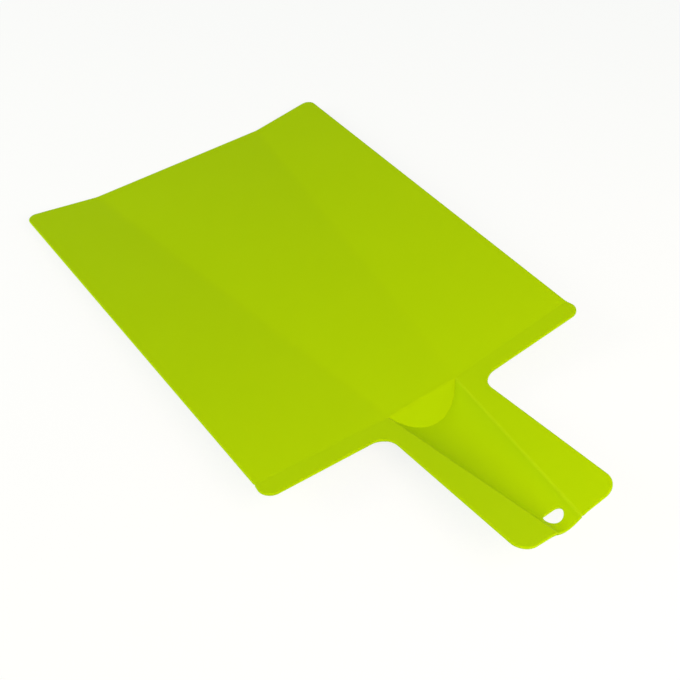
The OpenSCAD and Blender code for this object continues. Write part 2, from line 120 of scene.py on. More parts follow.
class BoardSizes(PropertyGroup):
    """Sizes of the board, as moulded"""

    board_len: FloatProperty(
        name="Board length",
        description="From the neck crease to the far edge",
        default=0.3348, min=0.26, max=0.4, unit="LENGTH",
    )
    far_crease_w: FloatProperty(
        name="Crease spread",
        description="Distance between the two board creases at the far edge",
        default=0.1535, min=0.11, max=0.19, unit="LENGTH",
    )
    board_far_w: FloatProperty(
        name="Far width",
        description="Width across the far corners, opened flat",
        default=0.2716, min=0.22, max=0.32, unit="LENGTH",
    )
    board_near_w: FloatProperty(
        name="Near width",
        description="Width at the outer ends of the near creases, opened flat",
        default=0.2646, min=0.215, max=0.31, unit="LENGTH",
    )
    far_reach: FloatProperty(
        name="Far corner reach",
        description="How far the far corners reach past the middle of the far edge",
        default=0.0022, min=0.0, max=0.008, unit="LENGTH",
    )
    neck_w: FloatProperty(
        name="Neck width",
        description="Distance between the two fold corners at the neck",
        default=0.0574, min=0.046, max=0.064, unit="LENGTH",
    )
    near_crease_fall: FloatProperty(
        name="Near crease fall",
        description="How far the near creases run towards the handle",
        default=0.0006, min=0.0, max=0.004, unit="LENGTH",
    )
    lip_corner_w: FloatProperty(
        name="Lip width",
        description="Width across the outer corners of the lips, opened flat",
        default=0.2692, min=0.218, max=0.316, unit="LENGTH",
    )
    lip_side_reach: FloatProperty(
        name="Lip side reach",
        description="From the neck crease line to the outer corners of the lips",
        default=0.016, min=0.012, max=0.022, unit="LENGTH",
    )
    lip_neck_reach: FloatProperty(
        name="Lip neck reach",
        description="From the neck crease line to the neck corners",
        default=0.0135, min=0.011, max=0.018, unit="LENGTH",
    )
    neck_corner_w: FloatProperty(
        name="Neck corner width",
        description="Width across the corners where the lips run into the handle",
        default=0.0804, min=0.074, max=0.092, unit="LENGTH",
    )
    handle_len: FloatProperty(
        name="Handle length",
        description="From the neck crease to the end of the trough",
        default=0.1405, min=0.115, max=0.17, unit="LENGTH",
    )
    handle_w: FloatProperty(
        name="Handle width",
        description="Width across the end corners of the handle",
        default=0.0786, min=0.07, max=0.092, unit="LENGTH",
    )
    tip_reach: FloatProperty(
        name="End corner reach",
        description="How far the end corners reach past the end of the trough",
        default=0.0024, min=0.0, max=0.006, unit="LENGTH",
    )
    tip_rise: FloatProperty(
        name="End corner rise",
        description="Height of the end corners above the centre panel",
        default=0.0237, min=0.02, max=0.028, unit="LENGTH",
    )
    tip_soft: FloatProperty(
        name="End softness", description="Extra length where a handle crease ends",
        default=0.0006, min=0.0, max=0.0012, unit="LENGTH",
    )
    tip_soft_w: FloatProperty(
        name="End softness width", description="How far that extra length runs out",
        default=0.006, min=0.003, max=0.01, unit="LENGTH",
    )
    trough_neck_r: FloatProperty(
        name="Trough radius at the neck",
        description="Inner radius of the trough at the neck crease",
        default=0.0357, min=0.0335, max=0.04, unit="LENGTH",
    )
    trough_tip_r: FloatProperty(
        name="Trough radius at the end",
        description="Inner radius of the trough at its end",
        default=0.012, min=0.0105, max=0.014, unit="LENGTH",
    )
    sheet_t: FloatProperty(
        name="Thickness",
        description="Thickness of the panels",
        default=0.002, min=0.0016, max=0.0026, unit="LENGTH",
    )
    web_t: FloatProperty(
        name="Hinge web",
        description="Thickness of the thin moulded hinges",
        default=0.0005, min=0.0004, max=0.0008, unit="LENGTH",
    )
    rim_r: FloatProperty(
        name="Rim radius", description="Rounding of the free edges",
        default=0.0009, min=0.0003, max=0.00098, unit="LENGTH",
    )
    groove_r: FloatProperty(
        name="Groove radius", description="Rounding of the edges beside the hinges, below",
        default=0.0004, min=0.0002, max=0.0006, unit="LENGTH",
    )
    hinge_w: FloatProperty(
        name="Hinge half width",
        description="From a crease to the thick panel on each side of it",
        default=0.0012, min=0.001, max=0.002, unit="LENGTH",
    )
    board_bend: FloatProperty(
        name="Board crease softness",
        description="Half width of the soft bend along the board creases",
        default=0.003, min=0.002, max=0.01, unit="LENGTH",
    )
    wing_tilt: FloatProperty(
        name="Wing tilt",
        description="How far each side is moulded up from the centre panel",
        default=math.radians(7.3), min=0.0, max=math.radians(12), subtype="ANGLE",
    )
    lip_tilt: FloatProperty(
        name="Lip tilt",
        description="How far each lip is moulded up from its side",
        default=math.radians(7.4), min=0.0, max=math.radians(12), subtype="ANGLE",
    )
    facet_slope: FloatProperty(
        name="Facet slope",
        description="Slope of the facet that closes the trough under the neck",
        default=math.radians(35.8), min=math.radians(30), max=math.radians(42),
        subtype="ANGLE",
    )
    far_corner_r: FloatProperty(
        name="Far corner radius", description="Radius of the far corners",
        default=0.008, min=0.003, max=0.02, unit="LENGTH",
    )
    near_corner_r: FloatProperty(
        name="Near corner radius", description="Radius of the near corners",
        default=0.009, min=0.003, max=0.012, unit="LENGTH",
    )
    neck_fillet_r: FloatProperty(
        name="Neck fillet", description="Radius of the inner corners at the neck",
        default=0.012, min=0.006, max=0.016, unit="LENGTH",
    )
    tip_corner_r: FloatProperty(
        name="Handle corner radius", description="Radius of the handle's end corners",
        default=0.011, min=0.004, max=0.014, unit="LENGTH",
    )
    hole_r: FloatProperty(
        name="Hole radius", description="Radius of the hanging hole's round side",
        default=0.007, min=0.005, max=0.008, unit="LENGTH",
    )
    hole_flat: FloatProperty(
        name="Hole flat",
        description="From the middle of the hole's round to its flat side",
        default=0.0025, min=0.002, max=0.0034, unit="LENGTH",
    )
    hole_inset: FloatProperty(
        name="Hole inset",
        description="From the end of the trough to the middle of the hole's round",
        default=0.0146, min=0.011, max=0.02, unit="LENGTH",
    )
    hole_corner_r: FloatProperty(
        name="Hole corner radius", description="Radius of the hole's two corners",
        default=0.0038, min=0.0005, max=0.004, unit="LENGTH",
    )


class BoardFinish(PropertyGroup):
    """Colour and grain of the moulding"""

    green: FloatVectorProperty(
        name="Lime", description="Colour of the polypropylene",
        default=(0.392, 0.571, 0.0012), size=3, min=0.0, max=1.0, subtype="COLOR",
    )
    deep_green: FloatVectorProperty(
        name="Deep lime", description="Colour where the moulding is a shade deeper",
        default=(0.376, 0.556, 0.001), size=3, min=0.0, max=1.0, subtype="COLOR",
    )
    # Painted light: this hinge colour is lighter than the lime to stand in for light
    # shining through the thin webs along the handle creases.
    web_painted_light_green: FloatVectorProperty(
        name="Hinge lime with painted light", description="Colour of the thin, slightly lighter hinges",
        default=(0.428, 0.605, 0.006), size=3, min=0.0, max=1.0, subtype="COLOR",
    )
    roughness: FloatProperty(
        name="Roughness", description="Roughness of the moulded skin",
        default=0.5, min=0.0, max=1.0, subtype="FACTOR",
    )
    grain: FloatProperty(
        name="Grain", description="Strength of the fine moulded grain",
        default=0.12, min=0.0, max=1.0, subtype="FACTOR",
    )
    mesh_steps: IntProperty(
        name="Corner steps", description="Steps round each rounded corner",
        default=18, min=6, max=48,
    )


class StudioSettings(PropertyGroup):
    """Light and camera"""

    near_power: FloatProperty(
        name="Near light", description="Power of the soft box beyond the handle",
        default=7.1, min=0.0, unit="POWER",
    )
    near_colour: FloatVectorProperty(
        name="Near light colour", description="Warm light of the soft box at the handle",
        default=(1.0, 0.79, 0.6), size=3, min=0.0, max=1.0, subtype="COLOR",
    )
    left_power: FloatProperty(
        name="Left light", description="Power of the large low soft box, far left",
        default=11.7, min=0.0, unit="POWER",
    )
    left_colour: FloatVectorProperty(
        name="Left light colour", description="Slightly warm light from the far left",
        default=(1.0, 0.96, 0.8), size=3, min=0.0, max=1.0, subtype="COLOR",
    )
    right_power: FloatProperty(
        name="Right light", description="Power of the large low soft box, near right",
        default=3.5, min=0.0, unit="POWER",
    )
    right_colour: FloatVectorProperty(
        name="Right light colour", description="Cool fill light from the near right",
        default=(0.84, 1.0, 0.85), size=3, min=0.0, max=1.0, subtype="COLOR",
    )
    room_strength: FloatProperty(
        name="Room light", description="Strength of the even room light",
        default=0.35, min=0.0,
    )
    room_colour: FloatVectorProperty(
        name="Room colour", description="Colour of the even room light",
        default=(0.76, 1.0, 0.9), size=3, min=0.0, max=1.0, subtype="COLOR",
    )
    azimuth: FloatProperty(
        name="Camera azimuth",
        description="Heading of the camera over the centre panel",
        default=math.radians(-37.963), subtype="ANGLE",
    )
    elevation: FloatProperty(
        name="Camera elevation",
        description="How far the camera looks down on the centre panel",
        default=math.radians(46.132), subtype="ANGLE",
    )
    camera_at: FloatVectorProperty(
        name="Camera place",
        description="Camera, from the middle of the neck crease on the centre panel",
        default=(-0.2832, -0.3549, 0.5281), size=3, subtype="TRANSLATION",
    )
    focal_px: FloatProperty(
        name="Focal length", description="Focal length in pixels of the picture",
        default=1029.6, min=100.0, subtype="PIXEL",
    )
    shift_px: FloatProperty(
        name="Shift", description="Sideways shift in pixels of the picture",
        default=-75.0, subtype="PIXEL",
    )


def unit(v):
    """v at length 1."""
    v = np.asarray(v, float)
    return v / np.linalg.norm(v)


def units(rows):
    """Rows of vectors, each at length 1."""
    return rows / np.linalg.norm(rows, axis=1)[:, None]


def left_of(d):
    """A plan direction turned left."""
    return np.array([-d[1], d[0]])


def flip(p):
    """The mirror image of a plan point on the other side of the board."""
    return np.array([-p[0], p[1]])


def raised(p, z):
    """A plan point or direction in space, at height z."""
    return np.array([p[0], p[1], z])


def meet(p, d, q, e):
    """Crossing of the line through p along d with the line through q along e."""
    return p + d * ((q - p)[0] * e[1] - (q - p)[1] * e[0]) / (d[0] * e[1] - d[1] * e[0])


def on_circle(r, turn):
    """The point of a circle about the origin at an angle."""
    return r * np.array([math.cos(turn), math.sin(turn)])


def round_centre(p0, p1, p2, r):
    """Centre of a circle that touches both sides of the corner p1."""
    a, b = unit(p0 - p1), unit(p2 - p1)
    m = unit(a + b)
    return p1 + m * r / math.sqrt(1 - (m @ a) ** 2)


def touch(p0, p1, c):
    """Where that circle touches the side from p1 to p0."""
    return p1 + unit(p0 - p1) * (unit(p0 - p1) @ (c - p1))


def arc(c, start, end, steps):
    """Points from start to end on the shorter arc about c."""
    a0 = math.atan2(*(start - c)[::-1])
    a1 = math.atan2(*(end - c)[::-1])
    turn = (a1 - a0 + math.pi) % (2 * math.pi) - math.pi
    r0, r1 = np.linalg.norm(start - c), np.linalg.norm(end - c)
    shares = np.linspace(0, 1, steps + 1)
    return [c + on_circle(r0 + (r1 - r0) * k, a0 + turn * k) for k in shares]


def corner(p0, p1, p2, r, steps):
    """The rounded corner p1, from the side of p0 to the side of p2."""
    c = round_centre(p0, p1, p2, r)
    return arc(c, touch(p0, p1, c), touch(p2, p1, c), steps)


def spread(p, q, step):
    """Points from p to q, about step apart, without q."""
    n = max(1, int(math.ceil(np.linalg.norm(q - p) / step)))
    return [p + (q - p) * i / n for i in range(n)]


def along_rows(rows, step):
    """Each row, a start and an end point, as points about step apart."""
    return [np.array(spread(a, b, step) + [b]) for a, b in rows]


def inside(points, loop):
    """Which points lie inside a closed loop."""
    x, y = points[:, 0:1], points[:, 1:2]
    a, b = loop, np.roll(loop, -1, axis=0)
    crosses = (a[:, 1] > y) != (b[:, 1] > y)
    dy = b[:, 1] - a[:, 1]
    dy = np.where(np.abs(dy) < 1e-12, 1e-12, dy)
    at = a[:, 0] + (y - a[:, 1]) * (b[:, 0] - a[:, 0]) / dy
    return (np.sum(crosses & (x < at), axis=1) % 2) == 1


def edge_distance(points, loop):
    """Distance from each point to a closed loop."""
    a, b = loop, np.roll(loop, -1, axis=0)
    d = b - a
    squares = np.maximum(np.einsum("ij,ij->i", d, d), 1e-18)
    t = np.einsum("pij,ij->pi", points[:, None] - a, d) / squares
    near = a + np.clip(t, 0, 1)[..., None] * d
    return np.min(np.linalg.norm(points[:, None] - near, axis=2), axis=1)


def spun(v, axis, turn):
    """v, or rows of v, turned about axis."""
    v = np.asarray(v, float)
    along = (v @ axis)[..., None] * axis
    c, s = math.cos(turn), math.sin(turn)
    return v * c + np.cross(axis, v) * s + along * (1 - c)


def turning_place(low, high, past):
    """The place between low and high from which past is true."""
    for _ in range(HALVINGS):
        middle = (low + high) / 2
        if past(middle):
            high = middle
        else:
            low = middle
    return high


def add_object(name, data):
    """A new object in the scene."""
    obj = bpy.data.objects.new(name, data)
    bpy.context.scene.collection.objects.link(obj)
    return obj


class BoardForm:
    """Creases, corners and upper faces of the right half, as it is moulded.

    Its frame has its origin in the middle of the neck crease, +Y towards the far
    edge and +Z up from the centre panel.
    """

    def __init__(self, s):
        self.s = s
        w = s.hinge_w
        self.steps = bpy.context.scene.board_finish.mesh_steps
        self.fold = np.array([s.neck_w / 2, 0.0])
        self.far = np.array([s.far_crease_w / 2, s.board_len])
        self.far_corner = np.array([s.board_far_w / 2, s.board_len + s.far_reach])
        self.near = np.array([s.board_near_w / 2, -s.near_crease_fall])
        self.lip_corner = np.array([s.lip_corner_w / 2, -s.lip_side_reach])
        self.neck_corner = np.array([s.neck_corner_w / 2, -s.lip_neck_reach])

        self.pivot = raised(self.fold, -s.web_t / 2)
        self.board_dir = unit(self.far - self.fold)
        self.board_out = -left_of(self.board_dir)
        self.near_dir = unit(self.near - self.fold)
        self.near_in = left_of(self.near_dir)
        self.seam_dir = unit(self.neck_corner - self.fold)

        self.axis_z = math.sqrt(s.trough_neck_r**2 - (s.neck_w / 2) ** 2)
        self.half = math.asin(s.neck_w / 2 / s.trough_neck_r)
        self.taper = (s.trough_neck_r - s.trough_tip_r) / s.handle_len
        self.crease_top = raised(self.fold, 0.0)
        # The point that the hinges of a fold corner share, a little under their faces
        self.fold_top = raised(self.fold, -s.web_t / 10)
        self.tip_crease = np.array([
            s.trough_tip_r * math.sin(self.half),
            -s.handle_len,
            self.axis_z - s.trough_tip_r * math.cos(self.half),
        ])
        tip_y = -s.handle_len - s.tip_reach
        self.tip_corner = np.array([s.handle_w / 2, tip_y, s.tip_rise])
        self.neck_top = self.lip_placed(raised(self.neck_corner, 0.0))
        self.handle_crease = np.linalg.norm(self.tip_crease - self.crease_top)

        handle_way = self.neck_corner - [0.0, s.lip_side_reach]
        self.lip_round = round_centre(
            self.lip_corner, self.neck_corner, handle_way, s.neck_fillet_r
        )
        self.handle_round = self.lip_placed(raised(self.lip_round, 0.0))[:2]

        # Corners of the thick panels, where the hinges meet at the fold corner
        board_in = self.fold - self.board_out * w
        board_edge = self.fold + self.board_out * w
        wing_edge = self.fold + self.near_in * w
        lip_edge = self.fold - self.near_in * w
        self.centre_in = meet(board_in, self.board_dir, np.array([0.0, w]), SIDEWAYS)
        self.wing_in = meet(board_edge, self.board_dir, wing_edge, self.near_dir)
        self.lip_in = meet(lip_edge, self.near_dir, self.fold, self.seam_dir)
        # And where they end at the far edge and at the side
        self.centre_far = meet(board_in, self.board_dir, self.far, SIDEWAYS)
        far_way = self.far_corner - self.far
        self.wing_far = meet(board_edge, self.board_dir, self.far, far_way)
        side_way = self.far_corner - self.near
        self.wing_near = meet(wing_edge, self.near_dir, self.near, side_way)
        lip_way = self.lip_corner - self.near
        self.lip_near = meet(lip_edge, self.near_dir, self.near, lip_way)
        self.facet_y = -w * math.cos(s.facet_slope)
        self.trough_y = turning_place(
            -s.neck_w / 4, -TINY, lambda y: self.lens_x(y) > self.trough_border(y)
        )

        # How it stands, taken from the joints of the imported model
        joint = JOINTS["right_wing_fold"]
        crease = -np.array(joint["axis"])
        tilt = math.atan2(-crease[2], crease[1])
        c, n = math.cos(tilt), math.sin(tilt)
        self.turn = np.array([[1, 0, 0], [0, c, n], [0, -n, c]])
        self.shift = np.array(joint["pos_m"]) - self.turn @ self.pivot

    # From the flat pattern to the moulded and the standing board

    def wing_placed(self, v):
        """A place in the flat pattern of a wing, where the tilted wing has it."""
        axis = raised(self.board_dir, 0.0)
        return self.pivot + spun(v - self.pivot, axis, -self.s.wing_tilt)

    def lip_placed(self, v):
        """The same for a lip, which tilts on its wing."""
        axis = raised(self.near_dir, 0.0)
        tilted = spun(v - self.pivot, axis, -self.s.lip_tilt)
        return self.wing_placed(self.pivot + tilted)

    def wing_turned(self, n):
        """A direction on the flat pattern of a wing, turned with the wing."""
        return spun(n, raised(self.board_dir, 0.0), -self.s.wing_tilt)

    def lip_turned(self, n):
        """The same for a lip."""
        return self.wing_turned(spun(n, raised(self.near_dir, 0.0), -self.s.lip_tilt))

    def stood(self, v):
        """Places as the board stands on its counter."""
        return v @ self.turn.T + self.shift

    # Upper faces, which give places and normals for points in plan or flat pattern

    def bent(self, q, way):
        """A flat panel bent up softly beside a board crease, from which way leads."""
        k = math.tan(self.s.wing_tilt) / (4 * self.s.board_bend)
        left = np.maximum(self.s.board_bend - (q - self.fold) @ way, 0)
        slope = (2 * k * left)[:, None]
        normal = units(np.column_stack([slope * way, np.ones(len(q))]))
        return np.column_stack([q, k * left**2]), normal

    def bend_rows(self, out, near, near_way, far_way):
        """Rows of inner points in the soft bend on one side of a board crease."""
        rows = []
        for d in np.linspace(self.s.hinge_w, self.s.board_bend, BEND_ROWS + 1)[1:]:
            p = self.fold + out * d
            rows.append([
                meet(p, self.board_dir, near, near_way),
                meet(p, self.board_dir, self.far, far_way),
            ])
        return rows

    def centre_face(self, q):
        """The centre panel, with a bend on each side."""
        q = np.asarray(q, float)
        side = np.ones((len(q), 3))
        side[q[:, 0] < 0, 0] = -1.0
        place, normal = self.bent(q * side[:, :2], -self.board_out)
        return place * side, normal * side

    def wing_face(self, q):
        """A side of the board."""
        place, normal = self.bent(np.asarray(q, float), self.board_out)
        return self.wing_placed(place), self.wing_turned(normal)

    def lip_face(self, q):
        """A lip, which is flat."""
        q = np.asarray(q, float)
        up = np.tile([0.0, 0.0, 1.0], (len(q), 1))
        place = self.lip_placed(np.column_stack([q, np.zeros(len(q))]))
        return place, self.lip_turned(up)

    def tip_bulge(self, u):
        """How far the handle's end stands out, softly, at u from a handle crease."""
        share = np.maximum(1 - np.abs(u) / self.s.tip_soft_w, 0)
        return self.s.tip_soft * share**2

    def crease_at(self, t):
        """Places at shares t of the handle crease, from the neck to the end."""
        return self.crease_top + t[:, None] * (self.tip_crease - self.crease_top)

    def edge_at(self, t):
        """The same along the handle's outer edge."""
        return self.neck_top + t[:, None] * (self.tip_corner - self.neck_top)

    def ruling(self, t):
        """Directions from the crease to the edge, in which the wing is straight."""
        return units(self.edge_at(t) - self.crease_at(t))

    def handle_face(self, q):
        """The twisted side of the handle, ruled from its crease to its edge."""
        q = np.asarray(q, float)
        along = self.tip_crease - self.crease_top
        side = self.tip_corner - self.neck_top

        def ruled(s, t):
            c, e = self.crease_at(t), self.edge_at(t)
            return c + s[:, None] * (e - c), e - c, along + s[:, None] * (side - along)

        t = -q[:, 1] / self.s.handle_len
        s = np.full(len(q), 0.5)
        for _ in range(FACE_TRIES):
            p, ds, dt = ruled(s, t)
            off = q - p[:, :2]
            det = ds[:, 0] * dt[:, 1] - ds[:, 1] * dt[:, 0]
            s = s + (off[:, 0] * dt[:, 1] - off[:, 1] * dt[:, 0]) / det
            t = t + (ds[:, 0] * off[:, 1] - ds[:, 1] * off[:, 0]) / det
        p, ds, dt = ruled(s, t)
        return p, units(np.cross(dt, ds))

    def trough_r(self, y):
        """Inner radius of the trough at y."""
        return self.s.trough_neck_r + y * self.taper

    def trough_face(self, q):
        """The trough, a cone."""
        q = np.asarray(q, float)
        r = self.trough_r(q[:, 1])
        z = self.axis_z - np.sqrt(np.maximum(r**2 - q[:, 0] ** 2, 1e-12))
        n = np.column_stack([-q[:, 0], r * self.taper, self.axis_z - z])
        return np.column_stack([q, z]), units(n)

    def trough_border(self, y):
        """Where the thick wall of the trough ends beside its crease, in plan."""
        r = self.trough_r(np.asarray(y, float))
        return r * np.sin(self.half - self.s.hinge_w / r)

    def facet_z(self, y):
        """Height of the facet at y."""
        a = self.s.facet_slope
        rise = (1 - math.cos(a)) * self.s.web_t / 2
        return y * math.tan(a) + rise / math.cos(a)

    def facet_face(self, q):
        """The facet, which is flat."""
        q = np.asarray(q, float)
        a = self.s.facet_slope
        n = np.tile([0.0, -math.sin(a), math.cos(a)], (len(q), 1))
        return np.column_stack([q, self.facet_z(q[:, 1])]), n

    def lens_x(self, y):
        """Half width of the facet at y, where it meets the trough."""
        y = np.asarray(y, float)
        left = self.trough_r(y) ** 2 - (self.axis_z - self.facet_z(y)) ** 2
        return np.sqrt(np.maximum(left, 0.0))

    def lens_end(self):
        """Where the facet runs out at the bottom of the trough."""
        return turning_place(
            -2 * self.s.trough_neck_r, self.facet_y,
            lambda y: self.trough_r(y) > self.axis_z - self.facet_z(y),
        )

    def lens_curve(self, first_y):
        """The facet's lower border in plan, from first_y on the right to the left."""
        end, start = self.lens_end(), self.trough_y
        y = start + (end - start) * np.sin(np.linspace(0, math.pi / 2, LENS_STEPS + 1))
        if first_y > start:
            y = np.concatenate([[first_y], y])
        x = self.lens_x(y)
        x[-1] = 0.0
        right = np.column_stack([x, y])
        return np.vstack([right, right[-2::-1] * [-1, 1]])

    def lens_mitres(self, lens, of_facet):
        """Slopes of the mitred walls where the facet and the trough meet."""
        middles = (lens[:-1] + lens[1:]) / 2
        ahead = lens[1:] - lens[:-1]
        out = units(np.column_stack([ahead[:, 1], -ahead[:, 0]]))
        if of_facet:
            out = -out
        facet = self.facet_face(middles)[1]
        trough = self.trough_face(middles)[1]
        half = (facet + trough) / (1 + np.sum(facet * trough, axis=1))[:, None]
        shift = (facet if of_facet else trough) - half
        return [float(v) for v in np.sum(shift[:, :2] * out, axis=1)]

    def beside(self, face, way, across):
        """face as a map of places along way and across from the fold corner."""

        def place(l, e):
            return face(self.fold + np.outer(l, way) + np.outer(e, across))[0]

        return place

    def on_seam(self, way, c):
        """Where the seam, from the fold corner along way, runs into the neck fillet."""
        b = way @ (c - self.fold)
        rest = np.sum((c - self.fold) ** 2) - self.s.neck_fillet_r**2
        return self.fold + way * (b - math.sqrt(b**2 - rest))

    def hole_outline(self):
        """The hanging hole in plan, counterclockwise: a round with one flat side."""
        s = self.s
        middle = np.array([0.0, s.hole_inset - s.handle_len])
        rise = s.hole_flat - s.hole_corner_r
        run = math.sqrt((s.hole_r - s.hole_corner_r) ** 2 - rise**2)
        touch_at = math.atan2(rise, run)
        right = [
            np.array([run, rise]) + on_circle(s.hole_corner_r, a)
            for a in np.linspace(touch_at, math.pi / 2, HOLE_CORNER_POINTS)
        ]
        left = [flip(p) for p in right[::-1]]
        turned = np.linspace(math.pi - touch_at, 2 * math.pi + touch_at, HOLE_POINTS)
        around = [on_circle(s.hole_r, a) for a in turned[1:-1]]
        return np.array([middle + p for p in right + left + around])


def wall_lean(kind, h, s):
    """How far up, as a sine, the wall of an edge leans at depth h."""
    r = s.rim_r if kind == "rim" else s.groove_r
    if kind in ("rim", "hole") and h < r:
        return (r - h) / r
    if kind in ("rim", "hole", "groove") and h > s.sheet_t - r:
        return -min((h - s.sheet_t + r) / r, 1.0)
    if isinstance(kind, float):
        return kind / math.hypot(1, kind)
    return 0.0


def wall_inset(kind, h, s):
    """How far the wall of an edge lies inside its outline at depth h."""
    if isinstance(kind, float):
        return -kind * h
    r = s.rim_r if kind == "rim" else s.groove_r
    return r * (1 - math.sqrt(1 - wall_lean(kind, h, s) ** 2))


def wall_levels(s, depth, has_hole):
    """Depths at which the walls of a sheet have a ring of points."""
    rim = [s.rim_r * (1 - math.cos(a)) for a in RIM_ANGLES]
    groove = [s.groove_r * (1 - math.cos(a)) for a in GROOVE_ANGLES]
    levels = rim + [s.sheet_t - h for h in rim + groove]
    if has_hole:
        levels += groove
    return sorted(h for h in levels if h < depth - TINY) + [depth]


def wall_ring(loop, out, kinds, h, s):
    """The outline of a sheet at depth h, drawn in as the kinds of its edges ask."""
    ring = np.empty_like(loop)
    for i in range(len(loop)):
        a, b = out[i - 1], out[i]
        da, db = wall_inset(kinds[i - 1], h, s), wall_inset(kinds[i], h, s)
        if a @ b > STRAIGHT_ON:
            m = unit(a + b)
            ring[i] = loop[i] - m * (da + db) / 2 / (m @ a)
        else:
            ring[i] = loop[i] - np.linalg.solve(np.stack([a, b]), [da, db])
    return ring


def wall_normals(ring, face, ahead, smooth, leans):
    """Normals of the wall along each edge of a ring, at its start and at its end."""
    up = face(ring)[1]
    after, before = (
        units(np.cross(face(ring + way * TINY)[0] - face(ring - way * TINY)[0], up))
        for way in (ahead, np.roll(ahead, 1, axis=0))
    )
    starts = after + before * smooth
    ends = np.roll(before + after * smooth, -1, axis=0)
    return [
        units(units(out) * np.sqrt(1 - leans**2) + side_up * leans)
        for out, side_up in ((starts, up), (ends, np.roll(up, -1, axis=0)))
    ]


class Shell:
    """Points, faces and corner normals of a closed sheet under an upper face."""

    def __init__(self, face, form):
        self.face, self.form = face, form
        self.verts, self.faces, self.normals = [], [], []

    def add_points(self, plan, h):
        """Adds points at depth h under the upper face and gives their numbers."""
        first = len(self.verts)
        place, up = self.face(plan)
        self.verts.extend(place - up * h)
        return list(range(first, len(self.verts)))

    def add_walls(self, loop, kinds, levels):
        """Builds the walls along one outline and gives its top and bottom rings."""
        s, n = self.form.s, len(loop)
        ahead = units(np.roll(loop, -1, axis=0) - loop)
        out = np.column_stack([ahead[:, 1], -ahead[:, 0]])
        smooth = np.array([
            [float(kinds[i - 1] == kinds[i] and out[i - 1] @ out[i] > SMOOTH_TURN)]
            for i in range(n)
        ])
        rings = [wall_ring(loop, out, kinds, h, s) for h in levels]
        ids = [self.add_points(ring, h) for ring, h in zip(rings, levels)]
        normals = []
        for ring, h in zip(rings, levels):
            leans = np.array([[wall_lean(kind, h, s)] for kind in kinds])
            normals.append(wall_normals(ring, self.face, ahead, smooth, leans))
        for i in range(n):
            j = (i + 1) % n
            for k in range(len(levels) - 1):
                a, b = ids[k], ids[k + 1]
                (a_start, a_end), (b_start, b_end) = normals[k], normals[k + 1]
                self.faces.append([a[i], b[i], b[j], a[j]])
                self.normals.append([a_start[i], b_start[i], b_end[i], a_end[i]])
        return (ids[0], rings[0]), (ids[-1], rings[-1])

    def add_cap(self, rims, h, sign, points, rows):
        """Fills the upper (sign 1) or lower side (-1) between its rims."""
        flat, ids, edges = [], [], []
        for ring_ids, ring in rims:
            base, n = len(flat), len(ring)
            flat.extend(ring)
            ids.extend(ring_ids)
            edges.extend((base + i, base + (i + 1) % n) for i in range(n))
        outer, holes = rims[0][1], [ring for _, ring in rims[1:]]

        def allowed(p, gap):
            p = np.asarray(p, float).reshape(-1, 2)
            ok = inside(p, outer) & (edge_distance(p, outer) > gap)
            for hole in holes:
                ok &= ~inside(p, hole) & (edge_distance(p, hole) > gap)
            return p[ok], ok

        base = len(flat)
        if len(points):
            flat.extend(allowed(points, POINT_GAP)[0])
        for row in rows:
            row = allowed(row, ROW_GAP)[0]
            start = len(flat)
            flat.extend(row)
            edges.extend((start + i, start + i + 1) for i in range(len(row) - 1))
        flat = np.asarray(flat)
        if len(flat) > base:
            ids.extend(self.add_points(flat[base:], h))
        # In millimetres, for the sake of the triangulation's tolerance
        coords, _, triangles, origins, *_ = delaunay_2d_cdt(
            [Vector(p * 1000) for p in flat], edges, [], 0, 1e-6, True
        )
        middles = [np.mean([coords[v] for v in t], axis=0) / 1000 for t in triangles]
        up = self.face(flat)[1]
        for t, ok in zip(triangles, allowed(middles, 0.0)[1]):
            if not ok:
                continue
            t = [origins[v][0] for v in t]
            a, b, c = flat[t]
            turn = (b - a)[0] * (c - a)[1] - (b - a)[1] * (c - a)[0]
            if turn * sign < 0:
                t = t[::-1]
            self.faces.append([ids[v] for v in t])
            self.normals.append([up[v] * sign for v in t])

    def stand(self, name, side):
        """Makes the object, as the board stands.

        On the left it is mirrored, and so is the order round its faces.
        """
        mirror = np.array([side, 1, 1])
        faces, normals = [], []
        for f, n in zip(self.faces, self.normals):
            faces.append(f[::side])
            normals.extend(tuple(self.form.turn @ (m * mirror)) for m in n[::side])
        verts = self.form.stood(np.array(self.verts) * mirror)
        mesh = bpy.data.meshes.new(name)
        mesh.from_pydata([tuple(v) for v in verts], [], faces)
        mesh.shade_smooth()
        mesh.normals_split_custom_set(normals)
        mesh.update()
        return add_object(name, mesh)


def sheet(name, face, loops, kinds, depth, form, points=(), rows=(), side=RIGHT):
    """A closed sheet under an upper face.

    loops are closed outlines in the face's plan, the outer one counterclockwise
    and holes clockwise. kinds has one entry for each edge: rim for a fully
    rounded free edge, hole for a slightly rounded one, groove beside a hinge, butt
    for a plain wall, or a number, the slope of a mitred wall. points and rows are
    inner points of the upper face.
    """
    shell = Shell(face, form)
    levels = wall_levels(form.s, depth, len(loops) > 1)
    tops, bottoms = zip(*(
        shell.add_walls(np.asarray(loop, float), kind, levels)
        for loop, kind in zip(loops, kinds)
    ))
    shell.add_cap(tops, 0.0, 1, points, rows)
    shell.add_cap(bottoms, depth, -1, points, rows)
    return shell.stand(name, side)


